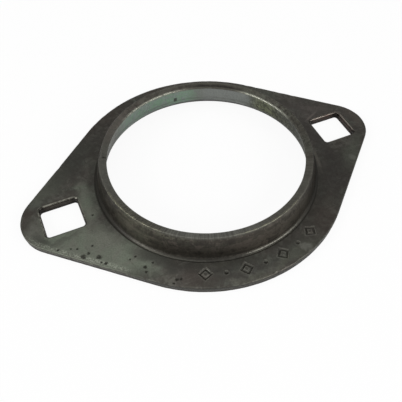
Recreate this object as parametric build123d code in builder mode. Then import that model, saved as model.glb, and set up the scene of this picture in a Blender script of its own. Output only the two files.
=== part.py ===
from build123d import *
import math
import os

# Two-bolt pressed-steel flange half for an insert bearing with a spherical outer ring.
# It is one stamping: a flat lozenge-shaped flange whose middle is drawn up into a ring,
# pierced by one square hole at each end for carriage bolts.
#
# Row frame, millimetres: origin on the flat back face at the centre of the bore,
# +X through the two bolt holes, +Z towards the rim of the drawn ring.

# ---- driving dimensions -------------------------------------------------------------
SHEET = 2.4            # flange sheet thickness
BOLT_SPACING = 90.5    # centre to centre of the square holes
LENGTH = 113.5         # over the two rounded ends
WIDTH = 84.3           # across the round middle
END_R = 11.2           # radius of the rounded ends

SEAT_R = 31.0          # spherical seat for a 62 mm outer ring, centred on the back face
WALL = 2.35            # ring wall, a little thinner than the sheet after drawing
RIM_Z = 9.55           # height of the rim's inner edge over the back face
BACK_BEND_R = 5.5      # bend from the back face into the seat
FOOT_R = 1.2           # fillet between the ring's outer wall and the flange

RIM_INNER_ROUND = 0.25  # broken edge inside the rim
RIM_OUTER_ROUND = 0.20  # broken edge outside the rim

SQUARE = 10.8          # across flats of the bolt holes
SQUARE_CORNER_R = 0.9  # corners of the punched squares
HOLE_ROLL = 0.35       # rounded entry edge of the punched squares
EDGE_ROLL = 0.5        # rounded top edge left by blanking
EDGE_BREAK = 0.12      # small break on the back edge

MARK_DEPTH = 0.25       # depth of the plain stamped ornament
MARK_R = 37.8           # radius of the arc that it stands on
MARK_STEP = 8.5         # degrees from one figure to the next
MARK_COUNT = 7          # diamonds and dots in turn, centred on MARK_MIDDLE
MARK_MIDDLE = 271.0     # direction of the row's middle, degrees from +X
DIAMOND_SIDE = 2.6
DIAMOND_STROKE = 0.5
DOT_R = 0.55            # radius of a dot at the surface

# ---- section of the drawn ring ------------------------------------------------------
OUTER_R = SEAT_R + WALL
rim_angle = math.asin(RIM_Z / SEAT_R)
back_centre_r = math.sqrt((SEAT_R + BACK_BEND_R) ** 2 - BACK_BEND_R**2)
back_angle = math.asin(BACK_BEND_R / (SEAT_R + BACK_BEND_R))
foot_centre_z = SHEET + FOOT_R
foot_centre_r = math.sqrt((OUTER_R + FOOT_R) ** 2 - foot_centre_z**2)
foot_angle = math.asin(foot_centre_z / (OUTER_R + FOOT_R))
BLANK_R = LENGTH / 2 + 5
dot_ball_r = (DOT_R**2 + MARK_DEPTH**2) / (2 * MARK_DEPTH)


def on_circle(radius, angle, centre=(0.0, 0.0)):
    return (centre[0] + radius * math.cos(angle), centre[1] + radius * math.sin(angle))


back_start = (back_centre_r, 0.0)
back_mid = on_circle(
    BACK_BEND_R, (1.5 * math.pi + math.pi + back_angle) / 2, (back_centre_r, BACK_BEND_R)
)
back_end = on_circle(SEAT_R, back_angle)
seat_mid = on_circle(SEAT_R, (back_angle + rim_angle) / 2)
rim_inner = on_circle(SEAT_R, rim_angle)
rim_outer = on_circle(OUTER_R, rim_angle)
wall_mid = on_circle(OUTER_R, (rim_angle + foot_angle) / 2)
foot_start = on_circle(OUTER_R, foot_angle)
foot_mid = on_circle(
    FOOT_R, (math.pi + foot_angle + 1.5 * math.pi) / 2, (foot_centre_r, foot_centre_z)
)
foot_end = (foot_centre_r, SHEET)

with BuildPart() as flangette:
    # round blank with the drawn ring, turned about the bore axis
    with BuildSketch(Plane.XZ) as section:
        with BuildLine():
            ThreePointArc(back_start, back_mid, back_end)
            ThreePointArc(back_end, seat_mid, rim_inner)
            Line(rim_inner, rim_outer)
            ThreePointArc(rim_outer, wall_mid, foot_start)
            ThreePointArc(foot_start, foot_mid, foot_end)
            Line(foot_end, (BLANK_R, SHEET))
            Line((BLANK_R, SHEET), (BLANK_R, 0))
            Line((BLANK_R, 0), back_start)
        make_face()
    revolve(axis=Axis.Z)

    # lozenge outline: round middle, round ends and their common tangents
    with BuildSketch(Plane.XY) as outline:
        Circle(WIDTH / 2)
        with Locations((LENGTH / 2 - END_R, 0), (END_R - LENGTH / 2, 0)):
            Circle(END_R)
        make_hull()
    extrude(amount=RIM_Z + 5, mode=Mode.INTERSECT)

    # broken edges of the rim
    rim_edges = flangette.edges().filter_by(GeomType.CIRCLE).sort_by(Axis.Z)[-2:]
    fillet(rim_edges.sort_by(Axis.Z)[-1:], radius=RIM_OUTER_ROUND)
    inner_edge = [
        e
        for e in flangette.edges().filter_by(GeomType.CIRCLE)
        if abs(e.radius - rim_inner[0]) < 0.01 and abs(e.center().Z - RIM_Z) < 0.01
    ]
    fillet(inner_edge, radius=RIM_INNER_ROUND)

    # blanked outline: rolled on top, a slight break on the back
    top_rim = flangette.faces().filter_by(Plane.XY).sort_by(Axis.Z)[-1].outer_wire()
    fillet(top_rim.edges(), radius=EDGE_ROLL)
    back_rim = flangette.faces().filter_by(Plane.XY).sort_by(Axis.Z)[0].outer_wire()
    chamfer(back_rim.edges(), length=EDGE_BREAK)

    # square holes for carriage bolts
    with BuildSketch(Plane.XY.offset(-1)):
        with Locations((BOLT_SPACING / 2, 0), (-BOLT_SPACING / 2, 0)):
            RectangleRounded(SQUARE, SQUARE, SQUARE_CORNER_R)
    extrude(amount=SHEET + 2, mode=Mode.SUBTRACT)
    top_face = flangette.faces().filter_by(Plane.XY).sort_by(Axis.Z)[-1]
    entry = [
        e
        for w in top_face.inner_wires()
        for e in w.edges()
        if abs(abs(e.center().X) - BOLT_SPACING / 2) < SQUARE
    ]
    fillet(entry, radius=HOLE_ROLL)

    # plain stamped row between the ring and the edge: diamonds and dots in turn
    first = MARK_MIDDLE - MARK_STEP * (MARK_COUNT - 1) / 2
    with BuildSketch(Plane.XY.offset(SHEET)):
        for index in range(MARK_COUNT):
            with PolarLocations(MARK_R, 1, start_angle=first + MARK_STEP * index):
                if index % 2 == 0:
                    Rectangle(DIAMOND_SIDE, DIAMOND_SIDE, rotation=45)
                    inner = DIAMOND_SIDE - 2 * DIAMOND_STROKE
                    Rectangle(inner, inner, rotation=45, mode=Mode.SUBTRACT)
    extrude(amount=-MARK_DEPTH, mode=Mode.SUBTRACT)
    with Locations(Plane.XY.offset(SHEET - MARK_DEPTH + dot_ball_r)):
        for index in range(1, MARK_COUNT, 2):
            with PolarLocations(MARK_R, 1, start_angle=first + MARK_STEP * index):
                Sphere(dot_ball_r, mode=Mode.SUBTRACT)

flangette.part.label = "flangette"

os.makedirs("parts", exist_ok=True)
export_step(flangette.part, "parts/flangette.step")

box = flangette.part.bounding_box()
print("flangette", "solids", len(flangette.part.solids()), "volume", round(flangette.part.volume, 1))
print("size", [round(v, 3) for v in (box.size.X, box.size.Y, box.size.Z)], "zmin", round(box.min.Z, 4))
print("rim opening diameter", round(2 * rim_inner[0], 2), "rim outer edge", [round(v, 2) for v in rim_outer])
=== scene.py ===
import math

import bpy
import numpy as np
from mathutils import Matrix, Vector


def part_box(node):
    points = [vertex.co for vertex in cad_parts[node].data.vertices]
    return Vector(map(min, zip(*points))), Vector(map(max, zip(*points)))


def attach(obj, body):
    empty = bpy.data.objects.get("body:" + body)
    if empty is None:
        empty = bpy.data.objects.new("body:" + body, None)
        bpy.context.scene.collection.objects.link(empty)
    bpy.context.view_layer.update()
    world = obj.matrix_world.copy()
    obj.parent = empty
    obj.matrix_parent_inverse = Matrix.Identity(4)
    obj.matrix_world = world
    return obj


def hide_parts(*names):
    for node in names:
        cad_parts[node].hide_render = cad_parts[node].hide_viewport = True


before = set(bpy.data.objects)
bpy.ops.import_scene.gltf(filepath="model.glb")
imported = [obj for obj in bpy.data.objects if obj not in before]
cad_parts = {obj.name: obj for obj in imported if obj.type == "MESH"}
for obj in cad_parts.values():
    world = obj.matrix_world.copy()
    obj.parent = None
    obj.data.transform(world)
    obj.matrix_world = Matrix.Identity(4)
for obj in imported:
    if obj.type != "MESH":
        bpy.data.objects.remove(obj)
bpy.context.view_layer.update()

MM = 0.001
RNG = np.random.default_rng(206)

# --------------------------------------------------------------------------------------
# 1. The pressing as one closed quad mesh, millimetres, in the CAD frame.
#    Real press-work detail is in the mesh: the rolled top edge, the burnished band and the
#    tapered break below it, the pierced squares with their own roll and breakout, the cut
#    rim, the tight foot of the ring, stamped figures, and slight unevenness of the sheet.
# --------------------------------------------------------------------------------------
lo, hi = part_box("flangette")
LENGTH, WIDTH = 113.5, 84.3
T = 2.4                      # sheet
END_R = 11.2
MID_R = WIDTH / 2
END_C = LENGTH / 2 - END_R
SPACING = 90.5
SEAT_R, WALL, RIM_Z = 31.0, 2.35, 9.55
BACK_R, FOOT_R = 5.5, 1.2
SQUARE, CORNER = 10.8, 0.9

BETA = math.acos((MID_R - END_R) / END_C)                  # normal of the straight sides
END_POLAR = math.atan2(END_R * math.sin(BETA), END_C + END_R * math.cos(BETA))
OUT_R = SEAT_R + WALL
RIM_A = math.asin(RIM_Z / SEAT_R)
BACK_A = math.asin(BACK_R / (SEAT_R + BACK_R))
BACK_C = math.sqrt((SEAT_R + BACK_R) ** 2 - BACK_R**2)
FOOT_Z = T + FOOT_R
FOOT_C = math.sqrt((OUT_R + FOOT_R) ** 2 - FOOT_Z**2)
FOOT_A = math.asin(FOOT_Z / (OUT_R + FOOT_R))


# ---- smooth value noise, the same every run -------------------------------------------
def hashed(ix, iy, iz, seed):
    h = (ix * 374761393 + iy * 668265263 + iz * 2147483647 + seed * 1274126177) & 0xFFFFFFFF
    h = ((h ^ (h >> 13)) * 1274126177) & 0xFFFFFFFF
    h = ((h ^ (h >> 16)) * 2246822519) & 0xFFFFFFFF
    return ((h ^ (h >> 15)) & 0xFFFFFF) / float(0xFFFFFF) * 2 - 1


def noise(p, size, seed=0):
    """-1..1 value noise with features of about `size` millimetres."""
    q = np.asarray(p, float) / size
    b = np.floor(q).astype(np.int64)
    f = q - b
    f = f * f * f * (f * (f * 6 - 15) + 10)
    out = 0
    for dx in (0, 1):
        wx = f[:, 0] if dx else 1 - f[:, 0]
        for dy in (0, 1):
            wy = f[:, 1] if dy else 1 - f[:, 1]
            for dz in (0, 1):
                wz = f[:, 2] if dz else 1 - f[:, 2]
                out = out + wx * wy * wz * hashed(b[:, 0] + dx, b[:, 1] + dy, b[:, 2] + dz, seed)
    return out


def fbm(p, size, seed=0, octaves=3):
    out, amp, total = 0, 1.0, 0.0
    for k in range(octaves):
        out = out + amp * noise(p, size / 2**k, seed + 17 * k)
        total += amp
        amp *= 0.5
    return out / total


# ---- outline of the flange as a function of direction ---------------------------------
def outline(phi):
    """Point and outward normal of the lozenge outline in each direction phi."""
    phi = np.asarray(phi, float)
    sx, sy = np.sign(np.cos(phi)), np.sign(np.sin(phi))
    sx, sy = np.where(sx == 0, 1, sx), np.where(sy == 0, 1, sy)
    a = np.arctan2(np.abs(np.sin(phi)), np.abs(np.cos(phi)))
    r = np.where(
        a >= BETA,
        MID_R,
        np.where(
            a >= END_POLAR,
            MID_R / np.cos(a - BETA),
            END_C * np.cos(a) + np.sqrt(np.maximum(END_R**2 - (END_C * np.sin(a)) ** 2, 0)),
        ),
    )
    q = np.stack([r * np.cos(a), r * np.sin(a)], -1)
    n_end = (q - np.array([END_C, 0])) / END_R
    n_line = np.broadcast_to(np.array([math.cos(BETA), math.sin(BETA)]), q.shape)
    n_mid = q / MID_R
    n = np.where((a >= BETA)[:, None], n_mid, np.where((a >= END_POLAR)[:, None], n_line, n_end))
    s = np.stack([sx, sy], -1)
    return q * s, n * s


# ---- directions: finer where the figures are stamped -----------------------------------
HALF = math.radians(14.0)          # half the sector given to each square hole
N_A = 56                           # steps across a hole's sector


def span(a, b, step):
    n = max(2, int(round((b - a) / step)))
    return list(np.linspace(a, b, n + 1)[:-1])


deg = math.radians
phis = (
    span(-HALF, HALF, 2 * HALF / N_A)
    + span(HALF, math.pi - HALF, deg(0.80))
    + span(math.pi - HALF, math.pi + HALF, 2 * HALF / N_A)
    + span(math.pi + HALF, deg(241.5), deg(0.80))
    + span(deg(241.5), deg(300.5), deg(0.25))
    + span(deg(300.5), 2 * math.pi - HALF, deg(0.80))
)
phis = np.array(phis)
N = len(phis)
i_right = 0
i_left = int(np.argmin(abs(phis - (math.pi - HALF))))
Q, QN = outline(phis)
DIRS = np.stack([np.cos(phis), np.sin(phis)], -1)

# ---- rows --------------------------------------------------------------------------------
gap = (
    [0, 0.12, 0.35, 0.7, 1.1, 1.45, 1.7]
    + [1.7 + 0.16 * k for k in range(1, 21)]
    + [5.15, 5.5, 5.9, 6.25, 6.5, 6.62, 6.7]
)
W_ROW = np.array(gap) / gap[-1]
N_R = len(W_ROW) - 1


def arc(cx, cy, r, a0, a1, n, skip_first=False):
    t = np.linspace(a0, a1, n + 1)[1 if skip_first else 0 :]
    return [(cx + r * math.cos(x), cy + r * math.sin(x)) for x in t]


# The ring's section from the top of the sheet, over the rim, to the back face: (r, z)
ring = arc(FOOT_C, FOOT_Z, FOOT_R, 1.5 * math.pi, math.pi + FOOT_A, 8)
ring += arc(0, 0, OUT_R, FOOT_A, RIM_A - 0.24 / OUT_R, 10, True)
er = (math.cos(RIM_A), math.sin(RIM_A))
et = (-math.sin(RIM_A), math.cos(RIM_A))


def rim_point(radius, along):
    return (radius * er[0] + along * et[0], radius * er[1] + along * et[1])


for k in range(1, 5):
    a = k / 4 * math.pi / 2
    ring.append(rim_point(OUT_R - 0.24 + 0.24 * math.cos(a), -0.24 + 0.24 * math.sin(a)))
for k in range(1, 6):
    ring.append(rim_point(OUT_R - 0.24 - (WALL - 0.24 - 0.28) * k / 5, 0.0))
for k in range(1, 5):
    a = math.pi / 2 + k / 4 * math.pi / 2
    ring.append(rim_point(SEAT_R + 0.28 + 0.28 * math.cos(a), -0.28 + 0.28 * math.sin(a)))
ring += arc(0, 0, SEAT_R, RIM_A - 0.28 / SEAT_R, BACK_A, 12, True)
ring += arc(BACK_C, BACK_R, BACK_R, math.pi + BACK_A, 1.5 * math.pi, 12, True)
ring = np.array(ring)

# The blanked edge from the top of the sheet to the back face: (inwards from the outline, z)
edge_rows = [(0.42 * (1 - math.sin(a)), T - 0.30 * (1 - math.cos(a))) for a in np.linspace(0, math.pi / 2, 7)]
edge_rows += [(0.0, 1.7), (0.0, 1.46), (0.015, 1.32), (0.05, 1.1), (0.085, 0.75), (0.11, 0.4), (0.135, 0.16), (0.17, 0.05), (0.26, 0.0)]
EDGE_IN, EDGE_OUT = edge_rows[0][0], edge_rows[-1][0]

# The pierced wall of a square hole: (outwards from its nominal flats, z)
hole_rows = [(0.60, T), (0.51, 2.372), (0.41, 2.325), (0.29, 2.25), (0.16, 2.14), (0.06, 2.0), (0.01, 1.86)]
hole_rows += [(0.0, 1.4), (0.015, 1.25), (0.03, 1.0), (0.045, 0.6), (0.055, 0.22), (0.08, 0.06), (0.16, 0.0)]
HOLE_IN, HOLE_OUT = hole_rows[0][0], hole_rows[-1][0]


# ---- patches ------------------------------------------------------------------------------
patches = []   # (points rows x columns x 3, attribute rows x columns, closed columns?, kind)
KINDS = ("top", "back", "foot", "wall", "rim", "seat", "bend", "edge", "hole")


def patch(points, kind, closed=False, along=None):
    points = np.asarray(points, float)
    rows, cols = points.shape[:2]
    if along is None:
        along = np.zeros((rows, cols))
    patches.append((points, np.asarray(along, float), closed, kind))


def lift(xy, z):
    return np.concatenate([xy, np.full(xy.shape[:-1] + (1,), float(z))], -1)


# ring, all the way round
ring_pts = np.stack(
    [np.concatenate([r * DIRS, np.full((N, 1), z)], -1) for r, z in ring], 0
)
seg = np.r_[0, np.cumsum(np.hypot(*np.diff(ring, axis=0).T))]
cuts = {"foot": (0, 8), "wall": (8, 18), "rim": (18, 31), "seat": (31, 43), "bend": (43, 55)}
for kind, (a, b) in cuts.items():
    patch(ring_pts[a : b + 1], kind, True, np.repeat(seg[a : b + 1][:, None], N, 1))

# edge, all the way round
edge_pts = np.stack([lift(Q - d * QN, z) for d, z in edge_rows], 0)
patch(edge_pts, "edge", True, np.repeat(np.array([z for _, z in edge_rows])[:, None], N, 1))


# sheet faces outside the hole sectors
def between(inner_r, inset, z):
    a = inner_r * DIRS
    b = Q - inset * QN
    return np.stack([lift(a + (b - a) * w, z) for w in W_ROW], 0)


top_block = between(FOOT_C, EDGE_IN, T)
back_block = between(BACK_C, EDGE_OUT, 0.0)
idx_far = np.arange(i_right + N_A, i_left + 1)
idx_near = np.r_[np.arange(i_left + N_A, N), [0]]
for idx in (idx_far, idx_near):
    patch(top_block[:, idx], "top")
    patch(back_block[::-1][:, idx], "back")


# one side of the rounded square, corner middle to corner middle
def side(n, corner_steps):
    h = SQUARE / 2 - CORNER
    pts, nor = [], []
    for k in range(corner_steps + 1):
        a = -math.pi / 4 + math.pi / 4 * k / corner_steps
        pts.append((h + CORNER * math.cos(a), -h + CORNER * math.sin(a)))
        nor.append((math.cos(a), math.sin(a)))
    m = n - 2 * corner_steps
    for k in range(1, m):
        pts.append((h + CORNER, -h + 2 * h * k / m))
        nor.append((1, 0))
    for k in range(corner_steps + 1):
        a = math.pi / 4 * k / corner_steps
        pts.append((h + CORNER * math.cos(a), h + CORNER * math.sin(a)))
        nor.append((math.cos(a), math.sin(a)))
    return np.array(pts)[:-1], np.array(nor)[:-1]


def turned(v, quarter):
    c, s = [(1, 0), (0, 1), (-1, 0), (0, -1)][quarter]
    return np.stack([v[:, 0] * c - v[:, 1] * s, v[:, 0] * s + v[:, 1] * c], -1)


sides = [side(N_A, 6), side(N_R, 5), side(N_A, 6), side(N_R, 5)]
SQ = np.concatenate([turned(s[0], k) for k, s in enumerate(sides)])
SQN = np.concatenate([turned(s[1], k) for k, s in enumerate(sides)])


def frame_loop(block, i0):
    """Boundary of a hole's sector, in the same order as the square's loop."""
    cols = (np.arange(i0, i0 + N_A + 1)) % N
    outer = block[-1][cols][:-1]
    plus = block[::-1][:, cols[-1]][:-1]
    inner = block[0][cols[::-1]][:-1]
    minus = block[:, cols[0]][:-1]
    return np.concatenate([outer, plus, inner, minus])


for i0, turn in ((0, 1), (i_left, -1)):
    centre = np.array([turn * SPACING / 2, 0.0])
    sq = SQ * turn + centre
    sn = SQN * turn
    for block, inset, z, kind in ((top_block, HOLE_IN, T, "top"), (back_block, HOLE_OUT, 0.0, "back")):
        outer = frame_loop(block, i0)
        inner = lift(sq + inset * sn, z)
        v = np.r_[0, 0.012, np.linspace(0, 1, 14)[1:] ** 1.15]
        grid = np.stack([inner + (outer - inner) * x for x in v], 0)
        patch(grid if kind == "top" else grid[::-1], kind, True)
    wall = np.stack([lift(sq + e * sn, z) for e, z in hole_rows], 0)
    patch(wall[::-1], "hole", True, np.repeat(np.array([z for _, z in hole_rows])[::-1][:, None], len(sq), 1))

# ---- weld the patches into one mesh ----------------------------------------------------------
points, along, kinds, quads = [], [], [], []
base = 0
for pts, al, closed, kind in patches:
    rows, cols = pts.shape[:2]
    points.append(pts.reshape(-1, 3))
    along.append(al.reshape(-1))
    ids = base + np.arange(rows * cols).reshape(rows, cols)
    if closed:
        ids = np.concatenate([ids, ids[:, :1]], 1)
    f = np.stack([ids[:-1, :-1], ids[:-1, 1:], ids[1:, 1:], ids[1:, :-1]], -1).reshape(-1, 4)
    quads.append(f)
    kinds.append(np.full(len(f), KINDS.index(kind)))
    base += rows * cols
points = np.concatenate(points)
along = np.concatenate(along)
quads = np.concatenate(quads)
kinds = np.concatenate(kinds)
key = np.round(points * 2e4).astype(np.int64)
_, first, inverse = np.unique(key, axis=0, return_index=True, return_inverse=True)
inverse = inverse.reshape(-1)
P = points[first]
quads = inverse[quads]
keep = np.array([len(set(q)) == 4 for q in quads.tolist()])
quads, kinds = quads[keep], kinds[keep]




# ---- every face looks outwards ----------------------------------------------------------------
def face_normals(P, quads):
    return np.cross(P[quads[:, 2]] - P[quads[:, 0]], P[quads[:, 3]] - P[quads[:, 1]])


fn = face_normals(P, quads)
mid = P[quads].mean(1)
radial = mid[:, :2] / np.linalg.norm(mid[:, :2], axis=1, keepdims=True)
out_dot = (fn[:, :2] * radial).sum(1)
hole_centre = np.stack([np.sign(mid[:, 0]) * SPACING / 2, np.zeros(len(mid))], -1)
to_hole = (fn[:, :2] * (hole_centre - mid[:, :2])).sum(1)
K = {k: i for i, k in enumerate(KINDS)}
outward = np.select(
    [kinds == K["top"], kinds == K["back"], kinds == K["foot"], kinds == K["wall"], kinds == K["rim"],
     kinds == K["seat"], kinds == K["bend"], kinds == K["edge"], kinds == K["hole"]],
    [fn[:, 2], -fn[:, 2], fn[:, 2] + out_dot, out_dot, fn[:, 2] - 0.0 * out_dot, -out_dot, -fn[:, 2] - out_dot,
     out_dot + 0.001 * fn[:, 2], to_hole],
)
for kind in KINDS:
    m = kinds == K[kind]
    if outward[m].sum() < 0:
        quads[m] = quads[m][:, ::-1]
fn = face_normals(P, quads)


def vertex_normals(P, quads):
    f = face_normals(P, quads)
    out = np.zeros_like(P)
    for k in range(4):
        np.add.at(out, quads[:, k], f)
    return out / np.maximum(np.linalg.norm(out, axis=1)[:, None], 1e-12)


NORM = vertex_normals(P, quads)
volume = (P[quads[:, 0]] * fn).sum() / 6
print("verts", len(P), "quads", len(quads), "volume mm3", round(volume, 1))

# ---- which surface each vertex belongs to, 0..1 --------------------------------------------------
zone = {}
for kind in KINDS:
    w = np.zeros(len(P))
    c = np.zeros(len(P))
    hit = (kinds == K[kind]).astype(float)
    for k in range(4):
        np.add.at(w, quads[:, k], hit)
        np.add.at(c, quads[:, k], 1.0)
    zone[kind] = w / np.maximum(c, 1)
X, Y, Z = P.T
R = np.hypot(X, Y)
PHI = np.arctan2(Y, X)
top = zone["top"] > 0.4
edge = zone["edge"]
hole = zone["hole"]

# ---- the sheet isn't perfectly true ---------------------------------------------------------------
def near(x, width):
    return np.exp(-((x / width) ** 2))


def turned_from(a):
    """Degrees round the ring from direction a, -180..180."""
    return (np.degrees(PHI) - a + 180) % 360 - 180


move = np.zeros_like(P)
unit = np.stack([np.cos(PHI), np.sin(PHI), np.zeros_like(PHI)], -1)
on_top = np.where(Z > T * 0.5, 1.0, 0.0)
sheet_side = (zone["top"] + zone["back"] + edge + hole) > 0.01
# long gentle waves from blanking and drawing
wave = 0.050 * fbm(P * [1, 1, 0], 24, 3, 2) + 0.010 * fbm(P * [1, 1, 0], 7, 5, 2)
move[:, 2] += wave * np.clip(1 - (R < FOOT_C - 0.5), 0, 1) * np.where(Z > T * 0.5, 1.0, 0.25)
# drawing the ring pulls the sheet up a little next to it, deeper on one side than the other
pull = 0.15 + 0.05 * np.cos(np.radians(turned_from(215)))
move[:, 2] += np.where(sheet_side, on_top * pull * np.exp(-np.clip(R - FOOT_C, 0, None) / 2.1), 0)
# and leaves a faint witness ring of the pressure pad's edge
witness = near(R - 37.0 - 0.25 * fbm(unit * 31, 20, 31, 2), 0.28) * np.clip(0.4 + 0.9 * fbm(unit * 31, 12, 33, 2), 0, 1)
move[:, 2] -= np.where(zone["top"] > 0.5, 0.014 * witness, 0)
# the ring's wall and rim are a little uneven round the turn
ringish = np.clip((FOOT_C + 0.2 - R) / 1.5, 0, 1) * np.clip((Z - 2.0) / 3.0, 0, 1)
move += (0.045 * fbm(unit * 31, 14, 9, 2) * ringish)[:, None] * unit
rimish = np.clip((Z - 8.8) / 0.8, 0, 1) * (R < 33)
move[:, 2] += rimish * (0.045 * fbm(unit * 31, 6.5, 11, 3) - 0.03)
# a step where the rim tore as the hole was flanged, and two smaller chips
missing = np.where(turned_from(160.5) < 0, np.exp(np.minimum(turned_from(160.5), 0) / 13.0), np.clip(1 - turned_from(160.5) / 0.7, 0, 1))
outer_corner = np.clip((R - 30.4) / 1.0, 0, 1) * np.clip((Z - 7.6) / 1.6, 0, 1)
move -= (outer_corner * 0.60 * missing)[:, None] * unit
move[:, 2] -= outer_corner * 0.10 * missing
for at, width, deep in ((128.0, 2.2, 0.06), (318.0, 3.0, 0.06), (352.0, 2.0, 0.05)):
    away = turned_from(at)
    step = np.where(away > 0, np.exp(-away / width), np.clip(1 + away / 0.5, 0, 1))
    move[:, 2] -= rimish * deep * step
    move -= (zone["rim"] * 0.6 * deep * step)[:, None] * unit
# torn texture of the cut rim: ridges that run through the wall, in patches
cut = zone["rim"]
patchy = np.clip(0.55 + 0.9 * fbm(unit * 31, 9, 37, 2), 0.1, 1) * (1 - 0.65 * near(turned_from(95), 42))
patchy = patchy * (1 - 0.85 * near(turned_from(258), 34))
move[:, 2] += cut * patchy * 0.026 * fbm(unit * 31 + P * [0, 0, 0.25], 0.85, 13, 2)
move[:, 2] += cut * 0.018 * fbm(P, 1.6, 41, 2)
# tool marks drawn down the wall, and the die's faint steps round it
wall_z = zone["wall"]
move += (wall_z * 0.012 * fbm(unit * 33, 1.1, 43, 2) * np.clip(0.5 + fbm(unit * 33, 8, 45, 2), 0, 1))[:, None] * unit
move += (wall_z * 0.016 * near(Z - 5.4 - 0.4 * fbm(unit * 31, 9, 47, 2), 0.35))[:, None] * unit

# the rolled top edge is scuffed and uneven
rolled_edge = edge * np.clip((Z - 1.85) / 0.2, 0, 1) * np.clip((T + 0.02 - Z) / 0.12, 0.25, 1)
move[:, 2] += rolled_edge * (0.040 * fbm(P * [1, 1, 0.6], 1.1, 51, 3) + 0.055 * fbm(P * [1, 1, 0], 6.0, 53, 2))

# burnished band and torn zone of the blanked edge: the border between them wanders
low = np.clip((1.42 - Z) / 0.35, 0, 1)
move -= (edge * low * (0.030 + 0.040 * fbm(P * [1, 1, 0.3], 1.4, 21, 3)))[:, None] * np.where(
    (edge > 0)[:, None], NORM * [1, 1, 0], 0
)
move -= (hole * low * (0.02 + 0.03 * fbm(P * [1, 1, 0.3], 1.1, 23, 3)))[:, None] * np.where(
    (hole > 0)[:, None], NORM * [1, 1, 0], 0
)

# ---- the stamped row: plain diamonds and dots ------------------------------------------------------
MARK_R, MARK_STEP, MARK_COUNT, MARK_MIDDLE = 37.8, 8.5, 7, 271.0
marks = np.zeros(len(P))
raised = np.zeros(len(P))
for k in range(MARK_COUNT):
    a = deg(MARK_MIDDLE + (k - (MARK_COUNT - 1) / 2) * MARK_STEP)
    u = X * math.cos(a) + Y * math.sin(a) - MARK_R
    v = -X * math.sin(a) + Y * math.cos(a)
    if k % 2 == 0:
        p, q = (u + v) / math.sqrt(2), (u - v) / math.sqrt(2)
        d = np.abs(np.maximum(abs(p), abs(q)) - 1.05)
        groove = np.clip(1 - d / 0.33, 0, 1)
        lip = np.exp(-(((d - 0.46) / 0.14) ** 2))
        depth = 0.24 * np.minimum(1, groove * 1.35) * (0.75 + 0.25 * (0.5 + 0.5 * np.sin(3 * v + k)))
    else:
        d = np.hypot(u, v)
        depth = 0.24 * np.clip(1 - (d / 0.58) ** 2, 0, 1)
        lip = np.exp(-(((d - 0.70) / 0.12) ** 2))
    marks = np.maximum(marks, depth / 0.24)
    raised = np.maximum(raised, lip)
    move[:, 2] += np.where(zone["top"] > 0.5, 0.036 * lip - depth, 0)
marks *= zone["top"] > 0.5
raised *= (zone["top"] > 0.5) * (1 - np.clip(marks, 0, 1))

# ---- knocks: shallow dents on both faces, nicks along the edges ---------------------------------------
for side_z, seed in ((T, 1), (0.0, 2)):
    rng = np.random.default_rng(40 + seed)
    face = zone["top"] if side_z else zone["back"]
    for _ in range(34):
        a, rr = rng.uniform(0, 2 * math.pi), rng.uniform(36, 54)
        cx, cy = rr * math.cos(a), rr * math.sin(a) * 0.72
        size, deep = rng.uniform(0.7, 1.7), rng.uniform(0.012, 0.035)
        ang, stretch = rng.uniform(0, math.pi), rng.uniform(1.0, 2.2)
        u = (X - cx) * math.cos(ang) + (Y - cy) * math.sin(ang)
        v = -(X - cx) * math.sin(ang) + (Y - cy) * math.cos(ang)
        g = np.exp(-((u / (size * stretch)) ** 2 + (v / size) ** 2))
        move[:, 2] += np.where(face > 0.5, -g * deep if side_z else g * deep, 0)
rng = np.random.default_rng(77)
for _ in range(26):
    a = rng.uniform(0, 2 * math.pi)
    size, deep = rng.uniform(0.4, 1.0), rng.uniform(0.03, 0.08)
    q, qn = outline(np.array([a]))
    g = np.exp(-(((X - q[0, 0]) ** 2 + (Y - q[0, 1]) ** 2) / size**2)) * np.clip((Z - 1.3) / 0.9, 0, 1)
    move -= (edge * g * deep)[:, None] * np.array([qn[0, 0], qn[0, 1], 0.6])
P2 = P + move

# nothing below the plane that it stands on, and nothing outside the CAD box
P2[:, 2] = np.maximum(P2[:, 2], 0.0)
P2[zone["back"] > 0.99, 2] *= 0.5
inside_lo, inside_hi = np.array(lo) / MM - [0.02, 0.02, 0], np.array(hi) / MM + 0.02
P2 = np.clip(P2, inside_lo, inside_hi)
NORM2 = vertex_normals(P2, quads)

# ---- Blender object ---------------------------------------------------------------------------------------
me = bpy.data.meshes.new("pressed_flange")
me.from_pydata((P2 * MM).tolist(), [], quads.tolist())
me.update()
me.shade_smooth()
piece = bpy.data.objects.new("pressed_flange", me)
bpy.context.scene.collection.objects.link(piece)
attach(piece, "root")
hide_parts("flangette")


def attribute(name, values):
    layer = me.attributes.new(name, "FLOAT", "POINT")
    layer.data.foreach_set("value", np.asarray(values, np.float32))


for kind in KINDS:
    attribute("z_" + kind, zone[kind])
attribute("marks", marks)
attribute("raised", raised)
hx, hy = np.abs(np.abs(X) - SPACING / 2) - SQUARE / 2, np.abs(Y) - SQUARE / 2
attribute("corner", zone["hole"] * np.clip(1 - np.hypot(hx, hy) / 2.6, 0, 1))


reach = np.interp(PHI % (2 * math.pi), np.r_[phis - 2 * math.pi, phis, phis + 2 * math.pi], np.tile(np.linalg.norm(Q, axis=1), 3)) - R
attribute("margin", (zone["top"] > 0) * np.clip(1 - reach / 4.5, 0, 1))


def ring_row(a, b):
    """1 on the ring's rows a..b, found again by their radius and height."""
    w = np.zeros(len(P))
    for r, z in ring[a : b + 1]:
        w = np.maximum(w, (np.hypot(R - r, Z - z) < 0.012).astype(float))
    return w


attribute("lip_out", ring_row(19, 22))
attribute("lip_in", ring_row(27, 31))


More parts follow.
